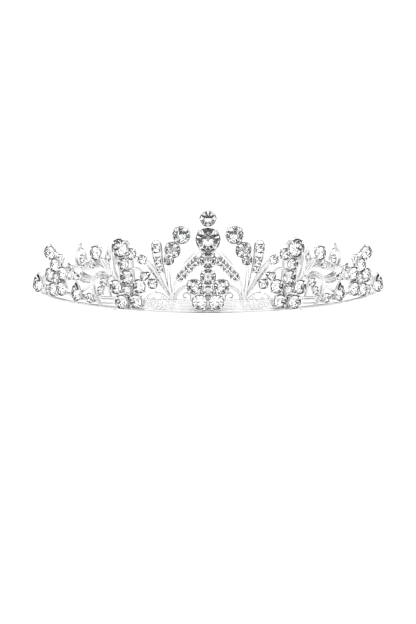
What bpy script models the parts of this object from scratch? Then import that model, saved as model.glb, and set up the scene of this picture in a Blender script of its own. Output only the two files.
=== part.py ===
"""A rhinestone tiara: a cast openwork front with its stones, and two side bands that end in combs.

The front is laid out flat, as a maker draws it, in two measures: the arc, which is the distance
along the ring from the middle of the front, and the height above the lower edge. A third measure,
proud, is how far a point stands out from the ring's inner face. ring_point() wraps the three
round the head. Everything hangs from one empty, which sets the tiara down on its front edge and
its comb tips.
"""

import math

import bmesh
import bpy
from mathutils import Matrix, Vector

MM = 0.001

# ---- The ring and the cast base band ----
RING_RADIUS = 66.6 * MM  # inner face of the casting
RAIL_HEIGHT = 1.0 * MM
RAIL_THICKNESS = 1.4 * MM
LAYOUT_RADIUS = RING_RADIUS + RAIL_THICKNESS  # at which an arc of the flat layout keeps its length
CASTING_HALF_ARC = 88.0 * MM  # from the middle to each end of the casting
CASTING_SEGMENTS = 21  # an odd number leaves one facet across the middle
WEB_THICKNESS = 0.9 * MM
TOP_RAIL_HEIGHT = 0.7 * MM
TOP_RAIL_THICKNESS = 1.2 * MM
BAND_HEIGHT_MIDDLE = 4.8 * MM
BAND_HEIGHT_END = 3.2 * MM

# ---- Stones and their settings ----
SIDES = 8  # facets round a stone and its cup
CLEARANCE = 0.3 * MM  # between a stone and its metal
CUP_WALL = 0.4 * MM
CUP_BACK = 0.25 * MM  # proud of the cup's back
CUP_FLOOR = 0.5 * MM
CUP_FOOT_SHARE = 0.58  # of the rim's radius
LIP = 0.5 * MM
PAVILION_SHARE = 0.36  # a stone's depth below its girdle, of its diameter
CROWN_SHARE = 0.2  # and its height above
CULET_SHARE = 0.36  # radius of the flat back, of the stone's
TABLE_SHARE = 0.58
STONE_GAP = 0.9 * MM  # between the girdles of two neighbours
ROSE_GAP = 1.3 * MM  # and in the two roses of each side
MELEE_GAP = 0.35 * MM  # between a boss and the stone beside it

PETALS = 5
CENTER_PETAL_DIAMETER = 5.2 * MM
ROSE_PETAL_DIAMETER = 4.6 * MM
CREST_MAIN_DIAMETER = 8.2 * MM
CREST_TOP_DIAMETER = 5.2 * MM
CREST_LOWER_DIAMETER = 5.4 * MM
TWIN_UPPER_DIAMETER = 5.9 * MM
TWIN_LOWER_DIAMETER = 5.4 * MM
CLUSTER_DIAMETER = 6.0 * MM
CLUSTER_BOSS_DIAMETER = 4.2 * MM
FAN_DIAMETER = 4.6 * MM
TIP_DIAMETER = 4.6 * MM
PEAR_DIAMETER = 4.4 * MM
PEAR_LENGTH_SHARE = 1.45  # of its width

# ---- Wires and plates ----
WIRE_BACK = 0.3 * MM
WIRE_FRONT = 1.6 * MM
WIRE_LIFT = 0.07 * MM
PLATE_BACK = 0.12 * MM
PLATE_FRONT = 1.45 * MM
BOSS_FRONT = 2.1 * MM
HEART_FRONT = 2.5 * MM
WIRE_STEP = 4.4 * MM  # between the sections of a wire

# ---- Side bands and combs ----
BAND_WIDTH = 3.6 * MM
BAND_THICKNESS = 0.8 * MM
LAP = 8.0 * MM  # how far a band runs behind the casting's end
LAP_GAP = 0.3 * MM
BAND_RISE = 0.2 * MM  # of the band's lower edge over the casting's
STRAIGHT_FROM = math.radians(118)  # round from the front, where a band stops bending
STRAIGHT_LENGTH = 55.0 * MM
BEND_STEP = 5.5 * MM
TEETH = 5
COMB_WIDTH = 24.0 * MM
TOOTH_DROP = 19.0 * MM  # below the band's lower edge
TOOTH_DIAMETER = 1.3 * MM
TOOTH_TIP_DIAMETER = 0.9 * MM
TOOTH_CURL = 4.5 * MM  # towards the head, at the tips
TOOTH_SEGMENTS = 4
TOOTH_SIDES = 6


# ---------------------------------------------------------------- placing


def ring_point(arc, height, proud):
    """A point of the flat layout, wrapped round the ring."""
    angle = arc / LAYOUT_RADIUS
    radius = RING_RADIUS + proud
    return Vector((radius * math.sin(angle), -radius * math.cos(angle), height))


def ring_frame(place, proud, turn=0.0):
    """Axes at a place of the layout: x along the arc, y up and z out of the ring.

    A turn in degrees faces z towards the front of the head, on the right half.
    """
    angle = place[0] / LAYOUT_RADIUS
    along = Vector((math.cos(angle), math.sin(angle), 0))
    out = Vector((math.sin(angle), -math.cos(angle), 0))
    axes = Matrix((along, Vector((0, 0, 1)), out)).transposed().to_4x4()
    facing = Matrix.Rotation(-math.radians(turn), 4, "Y")
    return Matrix.Translation(ring_point(*place, proud)) @ axes @ facing


def step_from(place, angle, distance):
    """The place at a distance from another, at an angle in degrees from the arc's direction."""
    turn = math.radians(angle)
    return (place[0] + distance * math.cos(turn), place[1] + distance * math.sin(turn))


def pitch(first, second):
    """The distance between the middles of two neighbouring stones."""
    return (first + second) / 2 + STONE_GAP


def mirrored(places):
    return [(-arc, height) for arc, height in places]


# ---------------------------------------------------------------- meshes


def new_object(name, vertices, faces, material=None, matrix=None):
    mesh = bpy.data.meshes.new(name)
    mesh.from_pydata([tuple(v) for v in vertices], [], faces)
    shape = bmesh.new()
    shape.from_mesh(mesh)
    bmesh.ops.connect_verts_nonplanar(shape, angle_limit=0.0001, faces=shape.faces)
    bmesh.ops.recalc_face_normals(shape, faces=shape.faces)
    shape.to_mesh(mesh)
    shape.free()
    item = bpy.data.objects.new(name, mesh)
    if matrix is not None:
        item.matrix_world = matrix
    if material is not None:
        mesh.materials.append(material)
    bpy.context.scene.collection.objects.link(item)
    return item


def skin(rings):
    """Faces that join equal rings of vertices in order, with both ends capped."""
    count = len(rings[0])
    vertices = [v for ring in rings for v in ring]
    faces = [tuple(range(count)), tuple(range(len(vertices) - count, len(vertices)))]
    for level in range(len(rings) - 1):
        base = level * count
        for i in range(count):
            j = (i + 1) % count
            faces.append((base + i, base + j, base + count + j, base + count + i))
    return vertices, faces


def round_outline(sides=SIDES):
    half = math.pi / sides
    return [(math.cos(2 * half * i + half), math.sin(2 * half * i + half)) for i in range(sides)]


def pear_outline(sides=SIDES):
    """A round lower half, and an upper half that is drawn out to a tip."""
    points = []
    for i in range(sides):
        angle = 2 * math.pi * i / sides
        x, y = math.cos(angle), math.sin(angle)
        if y > 0.01:
            x *= 1 - 0.25 * y
            y *= 2 * PEAR_LENGTH_SHARE - 1
        points.append((x, y))
    return points


def levels(outline, radii_and_heights):
    """Rings of an outline at given radii and heights, skinned into a closed solid."""
    rings = [[Vector((x * r, y * r, z)) for x, y in outline] for r, z in radii_and_heights]
    return skin(rings)


def girdle_proud(diameter):
    """How far proud a stone's girdle stands, on the cup that holds it."""
    return CUP_BACK + CUP_FLOOR + CLEARANCE + PAVILION_SHARE * diameter


# ---------------------------------------------------------------- materials


def make_material(name, colour, metallic, roughness):
    material = bpy.data.materials.new(name)
    material.use_nodes = True
    shader = material.node_tree.nodes["Principled BSDF"]
    shader.inputs["Base Color"].default_value = (*colour, 1)
    shader.inputs["Metallic"].default_value = metallic
    shader.inputs["Roughness"].default_value = roughness
    return material


# ---------------------------------------------------------------- stones


def stone_frame(place, diameter, turn):
    """Axes at the middle of a stone's girdle.

    A turned stone stands out further, to keep its cup off the head.
    """
    foot = (diameter / 2 + CLEARANCE + CUP_WALL) * CUP_FOOT_SHARE
    return ring_frame(place, girdle_proud(diameter) + foot * math.sin(abs(math.radians(turn))), turn)


def add_stone(name, place, diameter, material, outline, turn):
    """A foil-backed stone: flat table, sloping crown and cut-off pavilion."""
    radius = diameter / 2
    profile = [
        (radius * CULET_SHARE, -PAVILION_SHARE * diameter),
        (radius, 0),
        (radius * TABLE_SHARE, CROWN_SHARE * diameter),
    ]
    return new_object(name, *levels(outline, profile), material, stone_frame(place, diameter, turn))


def add_cup(place, diameter, outline, turn):
    """The cup that holds a stone: a cone from its back, and a sloping lip up to the girdle."""
    inside = diameter / 2 + CLEARANCE
    rim = inside + CUP_WALL
    back = CUP_BACK - girdle_proud(diameter)
    profile = [(rim * CUP_FOOT_SHARE, back), (rim, -LIP), (inside * 0.97, 0)]
    return new_object("cup", *levels(outline, profile), None, stone_frame(place, diameter, turn))


def add_pocket(place, diameter, outline, turn):
    """The room for a stone, a clearance larger all round and open at the front."""
    radius = diameter / 2
    profile = [
        (radius * CULET_SHARE + CLEARANCE, -PAVILION_SHARE * diameter - CLEARANCE),
        (radius + CLEARANCE, -0.1 * CLEARANCE),
        (radius + CLEARANCE, CROWN_SHARE * diameter + CLEARANCE),
    ]
    return new_object("pocket", *levels(outline, profile), None, stone_frame(place, diameter, turn))


def add_boss(place, diameter, front):
    """A solid seat for one small stone."""
    radius = diameter / 2
    profile = [(radius * CUP_FOOT_SHARE, CUP_BACK), (radius, front)]
    return new_object("boss", *levels(round_outline(6), profile), None, ring_frame(place, 0))


def add_heart(place, petal_diameter, gap):
    """A flower's back plate, which its five cups stand on, and the seat of its middle stone."""
    radius = flower_radius(petal_diameter, gap)
    seat = radius - petal_diameter / 2 - CLEARANCE
    plate = radius - 0.7 * MM
    profile = [(plate, CUP_BACK + 0.1 * MM), (plate, 1.1 * MM), (0.8 * seat, 1.3 * MM), (seat, HEART_FRONT)]
    return new_object("heart", *levels(round_outline(), profile), None, ring_frame(place, 0))


# ---------------------------------------------------------------- wires and plates


def smooth(points, spacing=WIRE_STEP):
    """Points about a spacing apart along the Catmull-Rom curve through the given ones."""
    ends = [points[0], *points, points[-1]]
    curve = []
    for before, start, end, after in zip(ends, ends[1:], ends[2:], ends[3:]):
        for step in range(12):
            t = step / 12
            weights = (
                -0.5 * t + t**2 - 0.5 * t**3,
                1 - 2.5 * t**2 + 1.5 * t**3,
                0.5 * t + 2 * t**2 - 1.5 * t**3,
                -0.5 * t**2 + 0.5 * t**3,
            )
            near = (before, start, end, after)
            curve.append(tuple(sum(w * p[k] for w, p in zip(weights, near)) for k in range(len(start))))
    curve.append(tuple(points[-1]))
    travelled = [0.0]
    for a, b in zip(curve, curve[1:]):
        travelled.append(travelled[-1] + math.hypot(b[0] - a[0], b[1] - a[1]))
    count = max(2, round(travelled[-1] / spacing))
    wanted = [travelled[-1] * i / count for i in range(count + 1)]
    return [curve[min(range(len(curve)), key=lambda k: abs(travelled[k] - w))] for w in wanted]


def route_sides(route):
    """For each point of a route, the unit direction across it in the layout."""
    across = []
    for i in range(len(route)):
        before, after = route[max(i - 1, 0)], route[min(i + 1, len(route) - 1)]
        run = Vector((after[0] - before[0], after[1] - before[1])).normalized()
        across.append(Vector((-run.y, run.x)))
    return across


def add_wire(route, widths, lift):
    """A wire with a flat back and a ridge along its front.

    Its lift sets it proud of the wires it crosses.
    """
    samples = smooth([(*place, width) for place, width in zip(route, widths)])
    rings = []
    for (arc, height, width), side in zip(samples, route_sides(samples)):
        left = ring_point(arc + side.x * width / 2, height + side.y * width / 2, WIRE_BACK + lift)
        right = ring_point(arc - side.x * width / 2, height - side.y * width / 2, WIRE_BACK + lift)
        rings.append([left, ring_point(arc, height, WIRE_FRONT + lift), right])
    return new_object("wire", *skin(rings))


def add_plate(route, widths):
    """A flat channel plate with sloping sides, for a row of small stones."""
    samples = smooth([(*place, width) for place, width in zip(route, widths)])
    rings = []
    for (arc, height, width), side in zip(samples, route_sides(samples)):
        ring = []
        for share, proud in ((1, PLATE_BACK), (0.84, PLATE_FRONT), (-0.84, PLATE_FRONT), (-1, PLATE_BACK)):
            reach = share * width / 2
            ring.append(ring_point(arc + side.x * reach, height + side.y * reach, proud))
        rings.append(ring)
    return new_object("plate", *skin(rings))


def band_height(arc):
    """The cast band's height, which falls towards its ends."""
    share = abs(arc) / CASTING_HALF_ARC
    return BAND_HEIGHT_MIDDLE + (BAND_HEIGHT_END - BAND_HEIGHT_MIDDLE) * share**2


def add_base_band(material):
    """The band along the lower edge: a lower rail, a thin web and an upper rail."""
    rings = []
    for i in range(CASTING_SEGMENTS + 1):
        arc = CASTING_HALF_ARC * (2 * i / CASTING_SEGMENTS - 1)
        top = band_height(arc)
        section = (
            (0, 0),
            (0, RAIL_THICKNESS),
            (RAIL_HEIGHT, RAIL_THICKNESS),
            (RAIL_HEIGHT, WEB_THICKNESS),
            (top - TOP_RAIL_HEIGHT, WEB_THICKNESS),
            (top - TOP_RAIL_HEIGHT, TOP_RAIL_THICKNESS),
            (top, TOP_RAIL_THICKNESS),
            (top, 0),
        )
        rings.append([ring_point(arc, height, proud) for height, proud in section])
    return new_object("front_frame", *skin(rings), material)


# ---------------------------------------------------------------- the layout


def flower_radius(petal_diameter, gap):
    """The distance from a flower's middle to its petals, so that they stand a gap apart."""
    return (petal_diameter + gap) / (2 * math.sin(math.pi / PETALS))


def rose_petal(middle, first_petal, i):
    """The place of one petal of a rose."""
    radius = flower_radius(ROSE_PETAL_DIAMETER, ROSE_GAP)
    return step_from(middle, first_petal + 360 * i / PETALS, radius)


def rose(name, middle, first_petal, turn):
    """The five petal stones of a rose, as (node name, place, diameter, outline, turn)."""
    return [
        (f"{name}_petal_{i + 1}", rose_petal(middle, first_petal, i), ROSE_PETAL_DIAMETER, "round", turn)
        for i in range(PETALS)
    ]


CENTER_FLOWER = (0.0, 8.4 * MM)
ROSE = (30.2 * MM, 7.5 * MM)
END_ROSE = (66.4 * MM, 8.8 * MM)
TWIN_LOWER = (12.8 * MM, 23.4 * MM)
FAN_STONE = (44.2 * MM, 20.6 * MM)
RAIL_PEAR = (54.6 * MM, 4.1 * MM)
END_PEAR = (83.6 * MM, 3.9 * MM)


def center_flower():
    """The five petal stones of the middle flower, from the top one round."""
    radius = flower_radius(CENTER_PETAL_DIAMETER, STONE_GAP)
    found = []
    for i in range(PETALS):
        place = step_from(CENTER_FLOWER, 90 + 360 * i / PETALS, radius)
        found.append((f"center_petal_{i + 1}", place, CENTER_PETAL_DIAMETER, "round", 0))
    return found


def crest_places():
    """The three stones that stand over the middle flower, stacked by their sizes."""
    top_petal = CENTER_FLOWER[1] + flower_radius(CENTER_PETAL_DIAMETER, STONE_GAP)
    lower = top_petal + pitch(CENTER_PETAL_DIAMETER, CREST_LOWER_DIAMETER)
    main = lower + pitch(CREST_LOWER_DIAMETER, CREST_MAIN_DIAMETER)
    top = main + pitch(CREST_MAIN_DIAMETER, CREST_TOP_DIAMETER)
    return (0.0, lower), (0.0, main), (0.0, top)


def middle_stones():
    lower, main, top = crest_places()
    return [
        ("crest_lower_stone", lower, CREST_LOWER_DIAMETER, "round", 0),
        ("crest_main_stone", main, CREST_MAIN_DIAMETER, "round", 0),
        ("crest_top_stone", top, CREST_TOP_DIAMETER, "round", 0),
        *center_flower(),
    ]


def twin_upper():
    return step_from(TWIN_LOWER, 120, pitch(TWIN_LOWER_DIAMETER, TWIN_UPPER_DIAMETER))


def cluster_lower():
    """The small stone between the rose and the cluster stone."""
    reach = (ROSE_PETAL_DIAMETER + CLUSTER_BOSS_DIAMETER) / 2 + MELEE_GAP + CLEARANCE
    return step_from(rose_petal(ROSE, 85, 0), 76, reach)


def cluster_top():
    reach = (CLUSTER_DIAMETER + CLUSTER_BOSS_DIAMETER) / 2 + MELEE_GAP + 2 * CLEARANCE
    return step_from(cluster_lower(), 78, reach)


def tip_place():
    return step_from(rose_petal(END_ROSE, 80, 0), 55, pitch(ROSE_PETAL_DIAMETER, TIP_DIAMETER))


def side_stones():
    """The stones of the right half."""
    return [
        ("twin_lower_stone", TWIN_LOWER, TWIN_LOWER_DIAMETER, "round", 0),
        ("twin_upper_stone", twin_upper(), TWIN_UPPER_DIAMETER, "round", 0),
        *rose("rose", ROSE, 85, 0),
        ("cluster_stone", cluster_top(), CLUSTER_DIAMETER, "round", 0),
        ("fan_stone", FAN_STONE, FAN_DIAMETER, "round", 0),
        ("rail_pear", RAIL_PEAR, PEAR_DIAMETER, "pear", 0),
        *rose("end_rose", END_ROSE, 80, 14),
        ("tip_stone", tip_place(), TIP_DIAMETER, "round", 25),
        ("end_pear", END_PEAR, PEAR_DIAMETER, "pear", 28),
    ]


def side_bosses():
    """Seats of the small stones of the right half, as (place, diameter)."""
    cluster = cluster_lower()
    return [
        (step_from(TWIN_LOWER, 290, TWIN_LOWER_DIAMETER / 2 + 1.3 * MM), 3.6 * MM),
        (cluster, CLUSTER_BOSS_DIAMETER),
        (step_from(cluster, 128, 5.0 * MM), 4.0 * MM),
        ((24.4 * MM, 19.4 * MM), 3.2 * MM),
        ((23.7 * MM, 13.2 * MM), 3.3 * MM),
        ((20.4 * MM, 10.6 * MM), 3.5 * MM),
        ((40.6 * MM, 9.8 * MM), 3.1 * MM),
        ((42.2 * MM, 6.6 * MM), 2.7 * MM),
        ((46.6 * MM, 16.2 * MM), 3.0 * MM),
        ((51.0 * MM, 17.8 * MM), 2.8 * MM),
        ((47.4 * MM, 3.3 * MM), 3.4 * MM),
        ((55.3 * MM, 10.9 * MM), 3.2 * MM),
        ((58.0 * MM, 14.0 * MM), 2.8 * MM),
        ((74.2 * MM, 3.6 * MM), 3.0 * MM),
    ]


def side_wires():
    """Routes and widths of the wires of the right half, in millimetres, from the band outwards."""
    return [
        # the twin stones' stem
        ([(13.2, 4.2), (14.4, 10.0), (14.6, 15.5), (13.6, 20.0), (12.8, 23.4), (10.0, 28.0)], 1.1),
        # the foot of the crest's arm
        ([(10.6, 13.2), (12.4, 10.4), (13.2, 4.2)], 1.1),
        # the arch beside the middle flower
        ([(12.4, 3.8), (11.2, 7.4), (8.4, 9.8), (5.0, 9.8)], 1.2),
        # the broad leaf from the band to the small stone beside the cluster
        ([(13.4, 4.4), (16.4, 9.2), (19.2, 13.4), (22.2, 17.2), (24.6, 19.2), (28.6, 21.0)], 1.7),
        # the loop over the rose, with its two stones
        ([(19.6, 6.2), (20.4, 10.6), (23.6, 13.2), (27.2, 15.8), (30.8, 14.8)], 1.1),
        # the arch panel on the band
        ([(23.8, 3.6), (22.6, 5.8), (20.0, 6.8), (17.0, 6.2), (14.6, 4.2)], 1.0),
        # the cluster's stems
        ([(30.8, 12.0), (32.4, 17.4), (33.6, 24.2)], 1.3),
        ([(32.2, 17.4), (28.8, 21.2)], 1.3),
        # the fan: stem to the cluster, leaf, stem to the fan stone, stem to the pointed stone
        ([(32.0, 8.6), (35.6, 11.6), (37.2, 16.0), (37.6, 20.4), (34.4, 24.0)], 1.2),
        ([(38.0, 12.0), (38.3, 16.0), (38.9, 19.4), (39.9, 23.0)], (0.8, 1.8, 3.0, 0.5)),
        ([(37.6, 12.0), (41.0, 15.6), (44.2, 20.6)], 1.2),
        ([(38.0, 12.2), (42.0, 14.6), (46.6, 16.2)], 1.1),
        # the large scroll, with its curl
        (
            [
                *[(37.4, 12.0), (42.6, 11.6), (48.0, 10.8), (52.6, 11.4)],
                *[(55.8, 14.2), (56.2, 18.0), (53.8, 20.4), (51.0, 18.2)],
            ],
            (1.4, 1.6, 1.8, 2.0, 2.0, 1.8, 1.5, 1.2),
        ),
        ([(54.6, 19.8), (53.6, 22.6)], (1.4, 1.2)),
        # the lower scroll down to the rail, and the curl inside it
        ([(38.2, 12.4), (42.8, 13.0), (46.2, 10.8), (46.8, 7.6), (45.4, 4.2), (42.8, 1.2)], 1.5),
        ([(38.6, 12.0), (40.6, 9.8), (42.2, 6.6), (45.6, 5.6)], 1.2),
        # the outer leaf with its two stones, and the wire to the pear
        ([(46.2, 10.2), (50.6, 9.6), (55.0, 10.6), (58.0, 14.0), (60.6, 16.6)], (1.0, 2.6, 2.4, 2.0, 0.5)),
        ([(46.8, 8.2), (50.2, 6.4), (54.0, 4.6)], 1.0),
        ([(55.4, 10.4), (62.0, 8.8)], 1.4),
        # the tip stone's stem
        ([(66.5, 9.0), (67.8, 14.0), (70.2, 16.8), (72.2, 19.0)], 1.5),
    ]


def side_plates():
    """Channel plates of the right half: the crest's arm and the feather loop."""
    return [
        ([(1.0, 23.8), (3.0, 21.0), (7.0, 16.7), (10.4, 13.0), (11.5, 11.8)], (2.0, 3.2, 3.4, 2.9, 0.9)),
        (
            [(13.6, 5.4), (15.6, 10.0), (17.3, 14.4), (18.7, 19.0), (19.3, 23.2), (19.5, 25.8), (19.6, 26.8)],
            (0.8, 1.4, 2.6, 3.5, 4.0, 3.0, 0.8),
        ),
    ]


# ---------------------------------------------------------------- building the casting


def to_mm_places(route):
    return [(arc * MM, height * MM) for arc, height in route]


def width_list(width, count):
    return [w * MM for w in (width if isinstance(width, tuple) else (width,) * count)]


OUTLINES = {"round": round_outline(), "pear": pear_outline()}


def both_halves(right):
    """Each stone of the right half, and its twin on the left."""
    found = []
    for name, (arc, height), diameter, outline, turn in right:
        found.append((f"{name}_right", (arc, height), diameter, outline, turn))
        found.append((f"{name}_left", (-arc, height), diameter, outline, -turn))
    return found


def hidden_collection(name, items):
    """Moves helper shapes to a collection that isn't rendered."""
    folder = bpy.data.collections.new(name)
    bpy.context.scene.collection.children.link(folder)
    for item in items:
        bpy.context.scene.collection.objects.unlink(item)
        folder.objects.link(item)
        item.hide_render = True
        item.display_type = "WIRE"
    folder.hide_render = True
    return folder


def boolean_with(item, folder, operation):
    modifier = item.modifiers.new(operation.lower(), "BOOLEAN")
    modifier.operation = operation
    modifier.operand_type = "COLLECTION"
    modifier.collection = folder
    modifier.solver = "MANIFOLD"
    return modifier


def add_front_frame(stones, material):
    """The casting: base band, wires, plates, cups and bosses as one solid, with a pocket for each stone."""
    frame = add_base_band(material)
    joined = []
    for k, (route, width) in enumerate(side_wires()):
        places = to_mm_places(route)
        widths = width_list(width, len(route))
        lift = (k % 6) * WIRE_LIFT
        joined += [add_wire(places, widths, lift), add_wire(mirrored(places), widths, lift)]
    for route, width in side_plates():
        places = to_mm_places(route)
        widths = width_list(width, len(route))
        joined += [add_plate(places, widths), add_plate(mirrored(places), widths)]
    for place, diameter in side_bosses():
        joined += [add_boss(spot, diameter, BOSS_FRONT) for spot in (place, mirrored([place])[0])]
    crest_top = crest_places()[2][1]
    joined.append(add_wire([(0.0, 2.0 * MM), (0.0, crest_top / 2), (0.0, crest_top)], [1.6 * MM] * 3, 0))
    joined.append(add_heart(CENTER_FLOWER, CENTER_PETAL_DIAMETER, STONE_GAP))
    for middle in (ROSE, END_ROSE, *mirrored([ROSE, END_ROSE])):
        joined.append(add_heart(middle, ROSE_PETAL_DIAMETER, ROSE_GAP))
    pockets = []
    for _, place, diameter, outline, turn in stones:
        joined.append(add_cup(place, diameter, OUTLINES[outline], turn))
        pockets.append(add_pocket(place, diameter, OUTLINES[outline], turn))
    boolean_with(frame, hidden_collection("metal_to_join", joined), "UNION")
    boolean_with(frame, hidden_collection("stone_pockets", pockets), "DIFFERENCE")
    return frame


# ---------------------------------------------------------------- side bands and combs


def band_path():
    """Points of the right band's middle line, from the lap to its end.

    The direction out of the ring comes with each.
    """
    radius = RING_RADIUS - LAP_GAP - BAND_THICKNESS / 2
    start = (CASTING_HALF_ARC - LAP) / LAYOUT_RADIUS
    count = max(2, round((STRAIGHT_FROM - start) * radius / BEND_STEP))
    path = []
    for i in range(count + 1):
        angle = start + (STRAIGHT_FROM - start) * i / count
        out = Vector((math.sin(angle), -math.cos(angle), 0))
        path.append((out * radius, out))
    last, out = path[-1]
    run = Vector((math.cos(STRAIGHT_FROM), math.sin(STRAIGHT_FROM), 0))
    path.append((last + run * STRAIGHT_LENGTH, out))
    return path


def add_band(name, side, material):
    """One side band: a flat strip on edge."""
    rings = []
    for middle, out in band_path():
        ring = []
        for across, up in ((1, 0), (1, 1), (-1, 1), (-1, 0)):
            point = middle + out * (across * BAND_THICKNESS / 2)
            ring.append(Vector((side * point.x, point.y, BAND_RISE + up * BAND_WIDTH)))
        rings.append(ring)
    return new_object(name, *skin(rings), material)


def add_tooth(side, share):
    """One comb tooth, from inside the band down to its tip.

    Its share runs from 0 at the first tooth to 1 at the last.
    """
    end, out = band_path()[-1]
    run = Vector((math.cos(STRAIGHT_FROM), math.sin(STRAIGHT_FROM), 0))
    inset = TOOTH_DIAMETER / 2 + CLEARANCE
    root = end - run * (inset + (COMB_WIDTH - 2 * inset) * (1 - share))
    top = BAND_RISE + 0.6 * BAND_WIDTH
    rings = []
    for i in range(TOOTH_SEGMENTS + 1):
        t = i / TOOTH_SEGMENTS
        height = top - (top - BAND_RISE + TOOTH_DROP) * t
        thick = TOOTH_DIAMETER + (TOOTH_TIP_DIAMETER - TOOTH_DIAMETER) * t
        flat = 0.5 * BAND_THICKNESS if i == 0 else thick
        middle = root - out * (TOOTH_CURL * t**2)
        ring = []
        for k in range(TOOTH_SIDES):
            angle = 2 * math.pi * k / TOOTH_SIDES
            point = middle + run * (math.cos(angle) * thick / 2) + out * (math.sin(angle) * flat / 2)
            ring.append(Vector((side * point.x, point.y, height)))
        rings.append(ring)
    return new_object("tooth", *skin(rings))


def add_side_comb(name, side, material):
    """A side band with its comb, stamped and bent as one piece."""
    comb = add_band(name, side, material)
    teeth = [add_tooth(side, i / (TEETH - 1)) for i in range(TEETH)]
    boolean_with(comb, hidden_collection(f"{name}_teeth", teeth), "UNION")
    return comb


# ---------------------------------------------------------------- setting it down


def evaluated_points(items):
    """World points of the items with their modifiers."""
    bpy.context.view_layer.update()
    graph = bpy.context.evaluated_depsgraph_get()
    found = []
    for item in items:
        shape = item.evaluated_get(graph)
        found += [shape.matrix_world @ v.co for v in shape.data.vertices]
    return found


def lowest(points, tilt):
    """The lowest height of some points once they are tilted about the x axis."""
    return min(p.y * math.sin(tilt) + p.z * math.cos(tilt) for p in points)


def rest_tilt(front_points, comb_points):
    """The tilt that brings the front edge and the comb tips level, found by halving."""
    low, high = 0.0, math.radians(40)
    for _ in range(40):
        middle = (low + high) / 2
        if lowest(comb_points, middle) < lowest(front_points, middle):
            low = middle
        else:
            high = middle
    return (low + high) / 2


def set_down(frame, combs, stones):
    """Turns and moves everything so that the front edge and the comb tips meet the ground together."""
    tilt = rest_tilt(evaluated_points([frame]), evaluated_points(combs))
    rest = bpy.data.objects.new("rest_pose", None)
    for item in bpy.data.objects:
        item.parent = rest if item.type == "MESH" else None
    bpy.context.scene.collection.objects.link(rest)
    rest.rotation_euler.x = tilt
    points = evaluated_points([frame, *combs, *stones])
    rest.location.y = -(min(p.y for p in points) + max(p.y for p in points)) / 2
    rest.location.z = -min(p.z for p in points)
    bpy.context.view_layer.update()
    return rest


def main():
    for item in list(bpy.data.objects):
        bpy.data.objects.remove(item)
    crystal = make_material("crystal", (0.93, 0.95, 0.96), 0.0, 0.03)
    silver = make_material("bright_silver_plate", (0.92, 0.92, 0.91), 1.0, 0.16)
    satin = make_material("satin_steel", (0.80, 0.80, 0.80), 1.0, 0.34)

    stones = middle_stones() + both_halves(side_stones())
    frame = add_front_frame(stones, silver)
    combs = [add_side_comb("side_comb_right", 1, satin), add_side_comb("side_comb_left", -1, satin)]
    gems = [
        add_stone(name, place, diameter, crystal, OUTLINES[outline], turn)
        for name, place, diameter, outline, turn in stones
    ]
    rest = set_down(frame, combs, gems)
    x, y, z = (1000 * value for value in rest.location)
    print(f"set down at {math.degrees(rest.rotation_euler.x):.3f} degrees, moved {x:.3f} {y:.3f} {z:.3f} mm")


main()
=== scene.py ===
# %% [markdown]
# # A rhinestone tiara, from the bench to the studio
#
# A costume tiara is a zinc casting, plated bright silver, with glass stones held in cups. Two flat
# steel strips are soldered behind its ends, and each ends in a comb. This lesson builds its looks
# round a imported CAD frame: the frame gives the places and sizes, and each cell adds one piece.

import math

import bmesh
import bpy
from mathutils import Matrix, Vector


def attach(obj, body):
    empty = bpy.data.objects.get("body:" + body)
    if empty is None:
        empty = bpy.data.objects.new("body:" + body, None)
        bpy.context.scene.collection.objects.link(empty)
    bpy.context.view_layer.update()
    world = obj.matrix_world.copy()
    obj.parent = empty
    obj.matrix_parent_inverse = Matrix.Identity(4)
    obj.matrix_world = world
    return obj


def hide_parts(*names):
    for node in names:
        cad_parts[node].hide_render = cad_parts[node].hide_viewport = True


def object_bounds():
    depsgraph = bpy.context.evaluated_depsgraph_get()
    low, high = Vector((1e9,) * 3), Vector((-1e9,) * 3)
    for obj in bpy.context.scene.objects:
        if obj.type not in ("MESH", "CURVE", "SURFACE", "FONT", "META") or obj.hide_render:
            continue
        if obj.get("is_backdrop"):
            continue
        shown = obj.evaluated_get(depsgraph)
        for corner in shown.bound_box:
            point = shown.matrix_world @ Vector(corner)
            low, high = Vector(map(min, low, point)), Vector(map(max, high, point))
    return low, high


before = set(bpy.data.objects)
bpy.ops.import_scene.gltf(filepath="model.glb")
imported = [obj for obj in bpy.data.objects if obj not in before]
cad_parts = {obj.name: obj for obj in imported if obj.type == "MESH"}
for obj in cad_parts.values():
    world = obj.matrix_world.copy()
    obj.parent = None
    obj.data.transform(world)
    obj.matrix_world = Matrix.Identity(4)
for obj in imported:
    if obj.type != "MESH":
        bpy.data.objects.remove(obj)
CAD_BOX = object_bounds()
print("CAD box in mm:", [[round(1000 * c, 2) for c in corner] for corner in CAD_BOX])

# %% [markdown]
# ## Where each stone sits
#
# Every stone of the frame is a small closed solid, and its table is the largest flat face it has.
# So the table tells which way the stone looks and where it sits. Reading it from the mesh is safer
# than repeating numbers, because a stone that moves in the frame then moves here too.

# %% Read a stone's table from its solid
CROWN_SHARE = 0.2  # height of the crown above the girdle, of a stone's diameter


def table_of(node):
    """The middle and the outward direction of a stone's largest flat face."""
    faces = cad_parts[node].data.polygons
    flats = [[f for f in faces if f.normal.dot(one.normal) > 0.9999] for one in faces]
    table = max(flats, key=lambda group: sum(f.area for f in group))
    area = sum(f.area for f in table)
    return sum((f.center * f.area for f in table), Vector()) / area, table[0].normal.normalized()


main_middle, main_out = table_of("crest_main_stone")
REST_TILT = math.atan2(-main_out.z, -main_out.y)
print(f"the combs lift the back, so the tiara leans forward {math.degrees(REST_TILT):.2f} degrees")

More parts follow.
